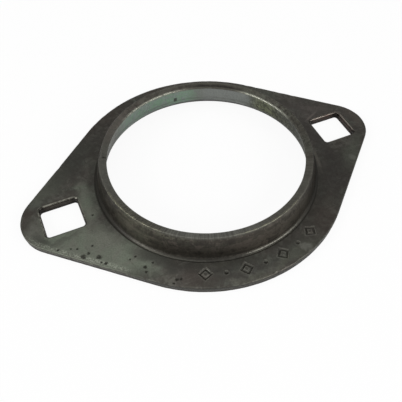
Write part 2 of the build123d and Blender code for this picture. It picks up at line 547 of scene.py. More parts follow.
# --------------------------------------------------------------------------------------
# 2. Material: dark, oily, mill-finish sheet steel with bare sheared and torn cut edges
# --------------------------------------------------------------------------------------
class Nodes:
    """A few short words for building a node tree."""

    def __init__(self, name):
        self.mat = bpy.data.materials.new(name)
        self.mat.use_nodes = True
        self.t = self.mat.node_tree
        self.t.nodes.clear()
        self.out = self.t.nodes.new("ShaderNodeOutputMaterial")
        self.x = 0

    def node(self, kind, inputs=None, **settings):
        n = self.t.nodes.new(kind)
        self.x += 40
        n.location = (self.x, -self.x % 600)
        for k, v in settings.items():
            setattr(n, k, v)
        for k, v in (inputs or {}).items():
            self.set(n.inputs[k], v)
        return n

    def set(self, socket, v):
        if isinstance(v, bpy.types.NodeSocket):
            self.t.links.new(v, socket)
        elif isinstance(v, (tuple, list)) and len(v) == 3 and socket.type == "RGBA":
            socket.default_value = (*v, 1.0)
        else:
            socket.default_value = v

    def math(self, op, a, b=None, c=None, clamp=False):
        n = self.node("ShaderNodeMath", operation=op, use_clamp=clamp)
        for k, v in enumerate((a, b, c)):
            if v is not None:
                self.set(n.inputs[k], v)
        return n.outputs[0]

    def add(self, a, b):
        return self.math("ADD", a, b)

    def mul(self, a, b):
        return self.math("MULTIPLY", a, b)

    def ramp(self, v, a, b, lo=0.0, hi=1.0, smooth=True):
        n = self.node("ShaderNodeMapRange", interpolation_type="SMOOTHSTEP" if smooth else "LINEAR", clamp=not smooth)
        for k, x in enumerate((v, a, b, lo, hi)):
            self.set(n.inputs[k], x)
        return n.outputs[0]

    def mix(self, f, a, b, blend="MIX"):
        n = self.node("ShaderNodeMix", data_type="RGBA", blend_type=blend, clamp_factor=True)
        self.set(n.inputs[0], f)
        self.set(n.inputs[6], a)
        self.set(n.inputs[7], b)
        return n.outputs[2]

    def mixf(self, f, a, b):
        n = self.node("ShaderNodeMix", data_type="FLOAT", clamp_factor=True)
        self.set(n.inputs[0], f)
        self.set(n.inputs[2], a)
        self.set(n.inputs[3], b)
        return n.outputs[0]

    def attr(self, name):
        return self.node("ShaderNodeAttribute", attribute_name=name, attribute_type="GEOMETRY").outputs["Fac"]

    def noise(self, vector, scale, detail=3.0, rough=0.55, distortion=0.0, w=None):
        n = self.node("ShaderNodeTexNoise", noise_dimensions="3D", normalize=True)
        self.set(n.inputs["Vector"], vector)
        for k, v in (("Scale", scale), ("Detail", detail), ("Roughness", rough), ("Distortion", distortion)):
            self.set(n.inputs[k], v)
        return n.outputs["Fac"]

    def stretch(self, vector, scale, offset=(0, 0, 0), turn=(0, 0, 0)):
        n = self.node("ShaderNodeMapping", vector_type="POINT")
        self.set(n.inputs["Vector"], vector)
        n.inputs["Location"].default_value = offset
        n.inputs["Rotation"].default_value = turn
        n.inputs["Scale"].default_value = scale
        return n.outputs[0]


g = Nodes("pressed_steel")
obj = g.node("ShaderNodeTexCoord").outputs["Object"]
p = g.stretch(obj, (1000, 1000, 1000))                       # millimetres
sep = g.node("ShaderNodeSeparateXYZ", {0: p})
px, py, pz = sep.outputs
flat_p = g.node("ShaderNodeCombineXYZ", {0: px, 1: py}).outputs[0]
unit_v = g.node("ShaderNodeVectorMath", {0: flat_p}, operation="NORMALIZE").outputs[0]
around = g.node("ShaderNodeVectorMath", {0: unit_v, 3: 32.0}, operation="SCALE").outputs[0]   # mm round the ring
rad = g.node("ShaderNodeVectorMath", {0: flat_p}, operation="LENGTH").outputs["Value"]

z = {k: g.attr("z_" + k) for k in KINDS}
marks_v, lip_out, lip_in = g.attr("marks"), g.attr("lip_out"), g.attr("lip_in")


# ---- fields ------------------------------------------------------------------------------
def field(scale, offset, turn=0.0, detail=4.0, rough=0.58, distortion=0.0, source=None):
    return g.noise(
        g.stretch(source or p, scale, offset, (0, 0, math.radians(turn))), 1.0, detail, rough, distortion
    )


big = field((0.055, 0.055, 0.06), (3.1, 1.7, 0.4), 0, 3, 0.55, 0.6)
cloud = field((0.15, 0.15, 0.15), (7.3, 2.9, 5.1), 0, 5, 0.60, 0.8)
smear = field((0.085, 0.30, 0.2), (1.3, 8.1, 2.2), 38, 5, 0.62, 1.0)
hue = field((0.12, 0.16, 0.1), (9.2, 4.4, 1.5), -20, 3, 0.55, 0.8)
mid = field((0.50, 0.50, 0.50), (4.7, 0.3, 9.4), 0, 5, 0.62, 0.4)
fine = field((2.3, 2.3, 2.3), (0.7, 6.1, 3.3), 0, 4, 0.62)
grain = field((9.0, 9.0, 9.0), (2.2, 0.1, 7.7), 0, 2, 0.5)
roll_lines = field((0.22, 6.5, 1.0), (0, 0, 0), 38, 3, 0.55)
drag = g.noise(g.stretch(around, (2.6, 2.6, 0.03), (0.3, 0.2, 0)), 1.0, 4.0, 0.62)
drag_wide = g.noise(g.stretch(around, (0.42, 0.42, 0.02), (5.3, 0.2, 0)), 1.0, 3.0, 0.55, 0.5)
tear = field((3.6, 3.6, 0.9), (1.1, 2.7, 0.4), 0, 4, 0.66, 0.5, around)
ragged = field((0.75, 0.75, 0.75), (8.1, 3.3, 6.6), 0, 5, 0.68, 0.8)

# positions with a wandering offset, so that nothing drawn with them has a clean outline
wander_x = g.math("SUBTRACT", field((0.13, 0.13, 0.13), (0, 0, 0), 0, 4, 0.62), 0.5)
wander_y = g.math("SUBTRACT", field((0.13, 0.13, 0.13), (31.7, 11.3, 7.9), 0, 4, 0.62), 0.5)
shift = g.node("ShaderNodeCombineXYZ", {0: wander_x, 1: wander_y}).outputs[0]
loose = g.node("ShaderNodeVectorMath", {0: shift, 1: (9.0, 9.0, 0.0), 2: flat_p}, operation="MULTIPLY_ADD").outputs[0]
shift2 = g.node("ShaderNodeVectorMath", {0: shift, 1: (1.2, 1.2, 0.0), 2: flat_p}, operation="MULTIPLY_ADD").outputs[0]


def patch_at(x, y, rx, ry, turn=0.0, soft=0.55):
    """A soft, ragged oval on the sheet, 1 in its middle."""
    n = g.node("ShaderNodeMapping", {0: loose}, vector_type="TEXTURE")
    n.inputs["Location"].default_value = (x, y, 0)
    n.inputs["Rotation"].default_value = (0, 0, math.radians(turn))
    n.inputs["Scale"].default_value = (rx, ry, 1000)
    d = g.node("ShaderNodeVectorMath", {0: n.outputs[0]}, operation="LENGTH").outputs["Value"]
    return g.ramp(d, 1 - soft, 1 + soft, 1.0, 0.0)


def thin_at(x, y, rx, ry, turn=0.0):
    n = g.node("ShaderNodeMapping", {0: shift2}, vector_type="TEXTURE")
    n.inputs["Location"].default_value = (x, y, 0)
    n.inputs["Rotation"].default_value = (0, 0, math.radians(turn))
    n.inputs["Scale"].default_value = (rx, ry, 1000)
    d = g.node("ShaderNodeVectorMath", {0: n.outputs[0]}, operation="LENGTH").outputs["Value"]
    return g.ramp(d, 0.3, 1.2, 1.0, 0.0)


def speck(x, y, r):
    d = g.node("ShaderNodeVectorMath", {0: shift2, 1: (x, y, 0)}, operation="DISTANCE").outputs["Value"]
    d = g.add(d, g.mul(g.math("SUBTRACT", ragged, 0.5), 1.6 * r + 0.5))
    return g.ramp(d, r * 0.45, r * 1.10, 1.0, 0.0)


def sector(a, half, soft=6.0):
    """1 in the directions within `half` degrees of a, fading over `soft`."""
    c = (math.cos(math.radians(a)), math.sin(math.radians(a)), 0)
    d = g.node("ShaderNodeVectorMath", {0: unit_v, 1: c}, operation="DOT_PRODUCT").outputs["Value"]
    return g.ramp(d, math.cos(math.radians(half + soft)), math.cos(math.radians(max(half - soft, 0))))


def most(items):
    out = items[0]
    for x in items[1:]:
        out = g.math("MAXIMUM", out, x)
    return out


def scratches(turn, offset, thin=0.010, patchiness=0.55):
    n = field((0.030, 1.9, 0.03), offset, turn, 1.0, 0.4, 0.0)
    line = g.ramp(g.math("ABSOLUTE", g.math("SUBTRACT", n, 0.5)), 0.0, thin, 1.0, 0.0)
    where = field((0.10, 0.10, 0.10), (offset[1], offset[0], 3.0), 0, 3, 0.6)
    return g.mul(line, g.ramp(where, patchiness, patchiness + 0.06))


scratch = most([scratches(24, (3.3, 1.1, 0)), scratches(-51, (7.9, 5.2, 0)), scratches(82, (1.7, 9.4, 0), 0.008, 0.6)])
vor = g.node("ShaderNodeTexVoronoi", {"Vector": p, "Scale": 0.42, "Randomness": 1.0}, feature="F1")
pick = g.node("ShaderNodeSeparateColor", {0: vor.outputs["Color"]}).outputs
pits = g.mul(g.ramp(vor.outputs["Distance"], 0.04, 0.13, 1.0, 0.0), g.ramp(pick[0], 0.78, 0.82))
pits = g.mul(pits, g.ramp(cloud, 0.42, 0.60))
for q in (
    (-43.5, -15.6, 0.85), (-41.9, -15.2, 0.60), (-39.8, -17.5, 0.75), (-38.6, -20.0, 0.60), (-39.6, -19.4, 0.35),
    (-29.6, -25.7, 0.60), (-29.9, -27.3, 0.52), (-40.2, -13.2, 0.40), (-32.2, -21.8, 0.38), (-30.7, -21.5, 0.32),
    (-27.3, -25.2, 0.36), (-23.4, -32.7, 0.50), (-22.3, -33.2, 0.45), (-45.8, -11.7, 0.34), (-44.3, -12.4, 0.34),
    (-49.0, -10.8, 0.42), (-37.2, -3.1, 0.38), (-24.5, -33.4, 0.36),
):
    pits = g.math("MAXIMUM", pits, g.mul(speck(*q), z["top"]))

# ---- the sheet's two faces ------------------------------------------------------------------
sheet = g.mix(g.ramp(cloud, 0.34, 0.68), (0.086, 0.081, 0.075), (0.124, 0.119, 0.110))
sheet = g.mix(g.mul(g.ramp(hue, 0.44, 0.64), 0.45), sheet, (0.112, 0.095, 0.090))
sheet = g.mix(g.mul(g.ramp(hue, 0.52, 0.38), 0.55), sheet, (0.098, 0.107, 0.094))
sheet = g.mix(g.mul(g.ramp(smear, 0.50, 0.66), 0.45), sheet, (0.072, 0.064, 0.060))
blotch = field((0.36, 0.36, 0.36), (6.2, 1.8, 3.9), 25, 3, 0.55, 1.2)
sheet = g.mix(g.ramp(blotch, 0.50, 0.57, 0.0, 0.68), sheet, (0.068, 0.063, 0.057))
sheet = g.mix(g.ramp(blotch, 0.46, 0.38, 0.0, 0.55), sheet, (0.146, 0.146, 0.128))
sheet = g.mix(g.mul(g.ramp(mid, 0.49, 0.58), 0.50), sheet, (0.070, 0.063, 0.056))
sheet = g.mix(g.mul(g.ramp(ragged, 0.53, 0.60), 0.35), sheet, (0.066, 0.058, 0.052))
# Painted sheen: a lighter, greener, smoother patch on the lower left of the top face, where the plate catches the
# light.
sheen_c = g.mix(g.ramp(hue, 0.40, 0.62), (0.160, 0.180, 0.148), (0.160, 0.164, 0.143))
sheen_c = g.mix(g.ramp(blotch, 0.50, 0.60, 0.0, 0.35), sheen_c, (0.130, 0.140, 0.118))
sheen_c = g.mix(g.mul(g.ramp(ragged, 0.50, 0.66), 0.35), sheen_c, (0.120, 0.126, 0.106))
green, warm, pale = (0.132, 0.142, 0.120), (0.112, 0.094, 0.084), (0.185, 0.182, 0.168)
dark, brown = (0.052, 0.050, 0.046), (0.066, 0.053, 0.048)
sheen_patch = most([patch_at(-39.5, -14, 18, 7.5, -42, 0.45), patch_at(-37.3, 1.5, 2.8, 7.5, 0, 0.5)])
sheen_patch = g.mul(sheen_patch, g.math("SUBTRACT", 1.0, z["back"]))
sheet = g.mix(sheen_patch, sheet, sheen_c)
# The two pinkish ovals up and left of the right hole, at (44.5, 10.5) and (44, 9.5), are painted highlight.
for x, y, rx, ry, turn, soft, much, tone in (
    (-46, 13, 7.5, 3.6, 40, 0.6, 0.60, green),
    (-33, 24, 3.5, 2.0, 40, 0.6, 0.35, green),
    (43, -13.5, 5, 3.0, 42, 0.6, 0.60, green),
    (3, 40, 13, 2.2, 0, 0.6, 0.45, warm),
    (33, 24, 2.2, 6, 35, 0.6, 0.38, green),
    (44.5, 10.5, 3.4, 1.6, -38, 0.5, 0.75, (0.150, 0.132, 0.124)),
    (38.5, 3.0, 4.5, 9.0, 0, 0.6, 0.40, (0.080, 0.070, 0.070)),
    (54.2, 1.5, 1.8, 4.5, 0, 0.6, 0.65, (0.136, 0.116, 0.104)),
    (44, 9.5, 10, 5.5, -30, 0.6, 0.45, (0.112, 0.096, 0.094)),
    (48.5, -8.5, 4.0, 1.8, 35, 0.6, 0.45, green),
    (11, -38.6, 7, 2.2, 14, 0.7, 0.40, (0.112, 0.116, 0.096)),
    (-11, -33.0, 3.6, 0.9, -18, 0.5, 0.45, (0.135, 0.130, 0.110)),
    (-4, -40.7, 5, 0.8, -4, 0.6, 0.35, (0.128, 0.132, 0.106)),
    (3.5, -40.4, 4, 0.9, 6, 0.6, 0.30, (0.130, 0.134, 0.108)),
    (13.6, -38.3, 1.4, 1.1, 0, 0.5, 0.75, pale),
    (26.2, -31.8, 1.2, 1.2, 0, 0.6, 0.60, pale),
    (-53.6, -2.2, 1.8, 2.6, 20, 0.5, 0.35, pale),
):
    sheet = g.mix(g.mul(patch_at(x, y, rx, ry, turn, soft), much), sheet, tone)
# Darker ovals on the top face: those on the upper left and lower right, along the near side of the ring's foot and
# behind the rim are painted shade where the plate reflects less light; those at the left end darken its tone.
grime_and_shade = 0.0
for x, y, rx, ry, turn, soft, much, tone in (
    (-36, 20, 13, 4.6, 40, 0.6, 0.65, dark),
    (-23, 34, 8, 2.6, 26, 0.6, 0.55, brown),
    (-55, 4.5, 2.0, 4.0, -10, 0.6, 0.70, brown),
    (-51.6, -5.0, 3.2, 1.1, -52, 0.6, 0.60, dark),
    (-46.3, -7.4, 4.2, 0.8, 6, 0.6, 0.50, (0.090, 0.088, 0.080)),
    (38, -7, 2.4, 10, 8, 0.6, 0.60, (0.056, 0.049, 0.048)),
    (34, -19, 9, 4.5, 45, 0.7, 0.72, (0.056, 0.050, 0.048)),
    (24, -31, 8, 4.0, 40, 0.7, 0.60, brown),
    (-25.0, -26.0, 8, 2.2, -47, 0.5, 0.70, dark),
    (-9, -36.2, 9, 2.6, -13, 0.7, 0.60, dark),
    (-19, -35.5, 4.5, 2.4, -25, 0.6, 0.60, brown),
    (20, 36.5, 8, 1.8, -28, 0.6, 0.50, brown),
    (7, -36.6, 8, 1.6, 10, 0.7, 0.40, dark),
):
    oval = g.mul(patch_at(x, y, rx, ry, turn, soft), much)
    sheet = g.mix(g.mul(oval, z["top"]), sheet, tone)
    grime_and_shade = oval if isinstance(grime_and_shade, float) else g.math("MAXIMUM", grime_and_shade, oval)
# painted shade along the foot of the ring, and a bare, scuffed margin on the near left
foot_shade = g.mul(g.ramp(rad, 38.2, 34.9), g.ramp(ragged, 0.34, 0.56, 0.55, 1.0))
sheet = g.mix(g.mul(g.mul(foot_shade, z["top"]), most([g.mul(sector(176, 30, 14), 0.66), g.mul(sector(250, 18, 9), 0.62), g.mul(sector(322, 22, 10), 0.45), 0.18])), sheet, (0.052, 0.049, 0.044))
scuffed = g.mul(g.mul(g.ramp(g.attr("margin"), 0.50, 0.76), sector(200, 15, 5)), g.ramp(g.add(g.mul(fine, 0.75), g.mul(ragged, 0.25)), 0.49, 0.55))
sheet = g.mix(g.mul(scuffed, 0.90), sheet, (0.370, 0.385, 0.340))
# a tidemark or two of dried oil
tide = g.ramp(g.math("ABSOLUTE", g.math("SUBTRACT", big, 0.53)), 0.0, 0.006, 1.0, 0.0)
sheet = g.mix(g.mul(g.mul(tide, g.ramp(mid, 0.45, 0.6)), 0.35), sheet, (0.060, 0.052, 0.045))
# Thin lighter streaks; the one beside the ring's foot on the right, at (33.2, -10.2), is a painted highlight of the
# foot's fillet, and the pinkish one by the right hole, at (41.5, 7.2), is a painted highlight too.
for x, y, rx, ry, turn, much, tone in (
    (33.2, -10.2, 0.80, 5.2, -14, 0.70, (0.165, 0.152, 0.138)),
    (41.5, 7.2, 3.6, 0.5, 24, 0.75, (0.185, 0.158, 0.150)),
    (-26.5, -33.2, 3.0, 0.35, -35, 0.60, (0.230, 0.232, 0.200)),
    (-8.0, -41.6, 5.0, 0.30, -10, 0.45, (0.180, 0.172, 0.150)),
    (44.0, -14.7, 1.3, 1.9, 20, 0.75, (0.200, 0.200, 0.182)),
):
    sheet = g.mix(g.mul(g.mul(thin_at(x, y, rx, ry, turn), much), z["top"]), sheet, tone)
colour = sheet
# Painted shade: the rolled outline darker, most at both ends.
outline_shade = g.mul(g.ramp(g.attr("margin"), 0.82, 0.97), most([g.mul(sector(0, 22, 10), 0.6), g.mul(sector(176, 14, 8), 0.45), 0.12]))
colour = g.mix(g.mul(outline_shade, z["top"]), colour, (0.048, 0.040, 0.035))

# ---- the ring's outside ---------------------------------------------------------------------
wall_c = g.mix(g.ramp(cloud, 0.35, 0.65), (0.062, 0.056, 0.049), (0.096, 0.087, 0.075))
# Painted reflection: the wall lighter round 273°.
wall_c = g.mix(g.mul(sector(273, 12, 7), 0.55), wall_c, (0.105, 0.090, 0.078))
wall_c = g.mix(g.mul(sector(214, 10, 8), 0.45), wall_c, (0.098, 0.090, 0.077))
smudge = most([g.mul(sector(250, 12, 6), g.ramp(pz, 6.2, 4.2)), g.mul(sector(289, 2.5, 2), g.ramp(pz, 6.4, 4.8)), sector(184, 8, 8)])
wall_c = g.mix(g.mul(smudge, g.ramp(ragged, 0.42, 0.56, 0.05, 0.75)), wall_c, (0.046, 0.039, 0.035))
wiped = g.noise(g.stretch(around, (0.22, 0.22, 0.22), (2.3, 0.2, 0)), 1.0, 4.0, 0.6, 0.8)
band = g.noise(g.node("ShaderNodeCombineXYZ", {0: g.mul(pz, 0.75), 1: g.mul(wiped, 5.0), 2: g.mul(ragged, 1.1)}).outputs[0], 1.0, 3.0, 0.6)
# Painted reflection: the lower wall lighter round 276°.
wall_c = g.mix(g.mul(sector(276, 16, 8), g.ramp(pz, 8.6, 4.4, 0.1, 0.85)), wall_c, (0.168, 0.146, 0.130))
wall_c = g.mix(g.mul(sector(240, 24, 10), g.ramp(pz, 7.4, 4.4, 0.0, 0.6)), wall_c, (0.118, 0.106, 0.092))
wall_c = g.mix(g.mul(sector(234, 18, 8), g.ramp(pz, 6.0, 8.4, 0.0, 0.5)), wall_c, (0.056, 0.051, 0.045))
wall_c = g.mix(g.ramp(blotch, 0.49, 0.41, 0.0, 0.58), wall_c, (0.150, 0.126, 0.114))
wall_c = g.mix(g.ramp(blotch, 0.55, 0.61, 0.0, 0.55), wall_c, (0.046, 0.040, 0.036))
# Painted reflection: lighter round 302°, facing the front-right lamp.
wall_c = g.mix(g.mul(sector(302, 14, 8), 0.75), wall_c, (0.158, 0.144, 0.126))
wall_c = g.mix(g.ramp(band, 0.50, 0.56, 0.0, 0.60), wall_c, (0.042, 0.036, 0.032))
wall_c = g.mix(g.ramp(band, 0.46, 0.40, 0.0, 0.50), wall_c, (0.118, 0.102, 0.092))
spots = g.mul(g.ramp(ragged, 0.57, 0.63), most([g.mul(sector(228, 16, 8), 0.7), g.mul(sector(289, 8, 5), 0.9), 0.25]))
wall_c = g.mix(spots, wall_c, (0.026, 0.023, 0.019))
wall_c = g.mix(g.mul(sector(320, 10, 7), 0.5), wall_c, (0.046, 0.041, 0.036))
comb = g.add(0.06, g.mul(sector(286, 15, 8), 0.40))
wall_c = g.mix(g.mul(g.ramp(drag, 0.50, 0.72), comb), wall_c, (0.036, 0.032, 0.028))
wall_c = g.mix(g.mul(g.ramp(drag, 0.42, 0.28), comb), wall_c, (0.130, 0.112, 0.096))
wall_c = g.mix(g.mul(g.ramp(pz, 7.6, 9.2), g.mul(sector(214, 24, 10), g.ramp(ragged, 0.44, 0.60, 0.0, 0.7))), wall_c, (0.150, 0.145, 0.115))
colour = g.mix(z["wall"], colour, wall_c)
# Painted highlight on the foot: lighter round 214° and 281°, where the lamps glint on the fillet.
foot_glint = g.add(most([g.mul(sector(214, 8, 6), 0.40), g.mul(sector(281, 15, 6), 0.95)]), 0.03)
foot_glint = g.mul(foot_glint, g.ramp(ragged, 0.56, 0.42, 0.45, 1.0))
foot_c = g.mix(foot_glint, (0.055, 0.051, 0.046), (0.079, 0.076, 0.067))
foot_c = g.mix(g.mul(g.ramp(pz, 2.60, 2.46, 0.0, 0.75), sector(250, 40, 9)), foot_c, (0.110, 0.106, 0.095))
foot_c = g.mix(g.mul(g.ramp(pz, 2.80, 3.05), 0.75), foot_c, wall_c)
# Painted shade on the foot: darker round 168°, 252° and 335°, where no lamp glints on it.
foot_c = g.mix(g.mul(sector(168, 22, 14), 0.72), foot_c, (0.032, 0.030, 0.026))
foot_c = g.mix(g.mul(sector(252, 13, 7), g.ramp(ragged, 0.44, 0.54, 0.2, 0.7)), foot_c, (0.034, 0.031, 0.028))
foot_c = g.mix(g.mul(sector(335, 26, 8), 0.60), foot_c, (0.030, 0.028, 0.026))
colour = g.mix(z["foot"], colour, foot_c)

# ---- seat, back bend ---------------------------------------------------------------------------
seat_c = g.mix(g.ramp(mid, 0.35, 0.7), (0.142, 0.142, 0.130), (0.168, 0.168, 0.156))
# Painted reflection: the seat's far side lighter, in mint and lavender tints, where it reflects the bright floor.
seat_c = g.mix(sector(102, 27, 9), seat_c, g.mix(g.ramp(blotch, 0.42, 0.58), (0.218, 0.318, 0.250), (0.242, 0.288, 0.274)))
seat_c = g.mix(sector(52, 18, 6), seat_c, (0.225, 0.236, 0.236))
seat_c = g.mix(g.mul(sector(21, 14, 5), 0.9), seat_c, (0.200, 0.214, 0.130))
seat_c = g.mix(g.mul(sector(357, 21, 6), 0.95), seat_c, g.mix(g.ramp(ragged, 0.44, 0.54), (0.132, 0.133, 0.106), (0.050, 0.050, 0.040)))
seat_c = g.mix(g.mul(sector(358, 20, 8), g.ramp(pz, 6.5, 3.0, 0.0, 0.65)), seat_c, (0.036, 0.037, 0.029))
peppery = g.mul(sector(17, 21, 6), g.ramp(g.add(g.mul(ragged, 0.6), g.mul(tear, 0.4)), 0.47, 0.53))
seat_c = g.mix(g.mul(peppery, 0.85), seat_c, (0.040, 0.042, 0.030))
streaks = g.mul(g.mul(g.ramp(drag, 0.54, 0.68), g.ramp(cloud, 0.45, 0.60)), 0.22)
seat_c = g.mix(streaks, seat_c, (0.085, 0.090, 0.080))
nick = g.mul(sector(86.8, 0.9, 0.5), g.mul(g.ramp(pz, 4.2, 4.6), g.ramp(pz, 6.3, 5.9)))
seat_c = g.mix(g.mul(nick, 0.85), seat_c, (0.026, 0.026, 0.022))
colour = g.mix(z["seat"], colour, seat_c)
bend_c = g.mix(g.ramp(cloud, 0.35, 0.65), (0.060, 0.058, 0.053), (0.092, 0.090, 0.083))
# Painted shade: the back bend darker on the far side, where it faces the floor under the part.
bend_c = g.mix(g.mul(sector(88, 66, 12), 0.8), bend_c, (0.034, 0.028, 0.028))
bend_c = g.mix(g.ramp(pz, 2.6, 3.3), bend_c, seat_c)
colour = g.mix(z["bend"], colour, bend_c)

# ---- rim ------------------------------------------------------------------------------------------
rim_c = g.mix(g.ramp(tear, 0.34, 0.66), (0.078, 0.071, 0.063), (0.122, 0.114, 0.102))
rim_c = g.mix(g.mul(g.ramp(drag_wide, 0.46, 0.62), 0.55), rim_c, (0.058, 0.050, 0.044))
rim_c = g.mix(g.mul(g.ramp(hue, 0.50, 0.38), 0.45), rim_c, (0.112, 0.116, 0.100))
rim_c = g.mix(g.mul(g.ramp(ragged, 0.60, 0.72), 0.6), rim_c, (0.190, 0.184, 0.165))
rim_c = g.mix(g.mul(sector(172, 24, 8), 0.70), rim_c, g.mix(g.ramp(ragged, 0.36, 0.62), (0.118, 0.116, 0.108), (0.150, 0.147, 0.136)))
rim_c = g.mix(g.mul(sector(212, 22, 10), 0.55), rim_c, g.mix(g.ramp(tear, 0.40, 0.60), (0.072, 0.067, 0.058), (0.172, 0.166, 0.136)))
rim_c = g.mix(g.mul(sector(250, 22, 12), 0.85), rim_c, g.mix(g.ramp(tear, 0.36, 0.64), (0.124, 0.121, 0.113), (0.222, 0.218, 0.206)))
rim_c = g.mix(g.mul(sector(298, 24, 10), 0.65), rim_c, g.mix(g.ramp(tear, 0.36, 0.64), (0.110, 0.104, 0.094), (0.160, 0.154, 0.140)))
rim_c = g.mix(g.mul(sector(60, 26, 10), 0.72), rim_c, g.mix(g.ramp(ragged, 0.42, 0.56), (0.086, 0.079, 0.068), (0.048, 0.043, 0.037)))
rim_c = g.mix(g.mul(sector(36, 6, 4), g.ramp(ragged, 0.46, 0.58, 0.0, 0.65)), rim_c, (0.215, 0.222, 0.190))
rim_c = g.mix(g.mul(sector(92, 36, 14), 0.60), rim_c, g.mix(g.ramp(blotch, 0.42, 0.56), (0.116, 0.110, 0.098), (0.058, 0.051, 0.046)))
rim_c = g.mix(g.mul(sector(2, 12, 8), 0.45), rim_c, (0.058, 0.054, 0.045))
rim_c = g.mix(g.mul(sector(10, 30, 8), g.ramp(ragged, 0.51, 0.57, 0.0, 0.75)), rim_c, (0.030, 0.029, 0.024))
rim_c = g.mix(g.mul(sector(22, 20, 8), g.ramp(ragged, 0.46, 0.40, 0.0, 0.60)), rim_c, (0.150, 0.156, 0.130))
rim_c = g.mix(g.mul(sector(136, 10, 8), 0.55), rim_c, (0.142, 0.130, 0.122))
rim_c = g.mix(g.mul(sector(66, 13, 8), 0.45), rim_c, (0.050, 0.045, 0.038))
rim_c = g.mix(g.mul(g.mul(sector(60, 13, 6), g.ramp(g.math("ABSOLUTE", g.math("SUBTRACT", rad, g.add(30.05, g.mul(big, 0.5)))), 0.15, 0.55, 1.0, 0.0)), g.ramp(ragged, 0.40, 0.50, 0.4, 0.9)), rim_c, (0.022, 0.020, 0.018))
rim_c = g.mix(g.mul(g.mul(sector(74, 26, 8), g.ramp(rad, 30.9, 31.3)), 0.5), rim_c, (0.135, 0.132, 0.118))
rim_c = g.mix(g.mul(sector(128, 16, 8), g.ramp(ragged, 0.44, 0.54, 0.0, 0.45)), rim_c, (0.160, 0.136, 0.126))
crack = g.mul(sector(160.4, 0.45, 0.4), g.ramp(rad, 31.1, 30.6))
rim_c = g.mix(g.mul(crack, g.ramp(ragged, 0.40, 0.50, 0.35, 0.85)), rim_c, (0.034, 0.031, 0.028))
colour = g.mix(z["rim"], colour, rim_c)
# Painted highlight: bright lines on the rim's inner and outer lips in the directions where they catch the lamps, broken
# up by noise.
glint_sectors_in = g.add(most([g.mul(sector(26, 17, 6), 0.85), sector(104, 20, 8)]), 0.12)
glint_sectors_out = g.add(most([sector(204, 17, 5), g.mul(sector(282, 19, 7), 0.75)]), 0.05)
lip_in_glint = g.mul(g.mul(lip_in, glint_sectors_in), g.ramp(ragged, 0.36, 0.54, 0.35, 1.0))
lip_out_glint = g.mul(g.mul(lip_out, glint_sectors_out), g.ramp(ragged, 0.42, 0.56, 0.05, 1.0))
colour = g.mix(lip_in_glint, colour, (0.370, 0.370, 0.330))
colour = g.mix(lip_out_glint, colour, (0.230, 0.220, 0.170))

# ---- cut edges: a burnished band over a torn one --------------------------------------------------
torn_c = g.mix(g.ramp(fine, 0.3, 0.7), (0.044, 0.041, 0.037), (0.086, 0.081, 0.072))
sheared_c = g.mix(g.ramp(ragged, 0.38, 0.58), (0.046, 0.043, 0.038), (0.086, 0.083, 0.072))
# On the sheared band: painted shade round 262°, between the lamps, and painted highlight round 294° and 205°, where the
# lamps glint; darker again round 316°.
sheared_c = g.mix(g.mul(sector(262, 42, 10), 0.85), sheared_c, (0.041, 0.039, 0.036))
sheared_c = g.mix(g.mul(sector(294, 7, 5), 0.30), sheared_c, (0.066, 0.064, 0.058))
sheared_c = g.mix(g.mul(sector(316, 12, 6), 0.6), sheared_c, (0.044, 0.041, 0.036))
sheared_c = g.mix(g.mul(g.mul(sector(205, 17, 6), g.ramp(g.add(g.mul(fine, 0.6), g.mul(ragged, 0.4)), 0.50, 0.60)), 0.75), sheared_c, (0.230, 0.230, 0.180))
border = g.add(1.32, g.ramp(ragged, 0.3, 0.7, -0.22, 0.22))
upper = g.math("GREATER_THAN", pz, border)
edge_c = g.mix(upper, torn_c, sheared_c)
shoulder = g.ramp(pz, 2.00, 2.20)
edge_c = g.mix(g.mul(shoulder, g.math("SUBTRACT", 1.0, g.mul(sector(293, 9, 5), 0.3))), edge_c, sheet)
colour = g.mix(z["edge"], colour, edge_c)
rolled = g.ramp(pz, 2.08, 2.24)
hole_torn = g.mix(g.ramp(fine, 0.3, 0.7), (0.028, 0.024, 0.021), (0.060, 0.050, 0.044))
hole_c = g.mix(upper, hole_torn, g.mix(g.ramp(ragged, 0.40, 0.60), (0.044, 0.039, 0.034), (0.062, 0.051, 0.046)))
hole_c = g.mix(g.mul(g.ramp(px, 20, 30), g.ramp(ragged, 0.46, 0.58, 0.2, 0.8)), hole_c, (0.062, 0.036, 0.032))
# Painted shade: the hole's corners and the bottom of its wall darker.
hole_c = g.mix(g.math("MULTIPLY", g.ramp(g.attr("corner"), 0.05, 0.7), 0.85), hole_c, (0.018, 0.016, 0.014))
hole_c = g.mix(g.ramp(pz, 0.9, 0.1, 0.0, 0.7), hole_c, (0.020, 0.018, 0.016))
# Painted highlight: the rolled top of the hole's wall lighter.
hole_c = g.mix(g.mul(g.mul(rolled, g.ramp(g.attr("corner"), 0.25, 0.65, 1.0, 0.50)), g.ramp(g.add(g.mul(ragged, 0.6), g.mul(blotch, 0.4)), 0.43, 0.54, 0.12, 1.0)), hole_c, g.mix(g.ramp(px, 20, 30), (0.262, 0.254, 0.228), (0.226, 0.200, 0.184)))
colour = g.mix(z["hole"], colour, hole_c)

# ---- over everything --------------------------------------------------------------------------------
# Painted shade in the stamped grooves.
colour = g.mix(g.mul(marks_v, g.ramp(ragged, 0.40, 0.56, 0.45, 0.75)), colour, (0.026, 0.024, 0.021))
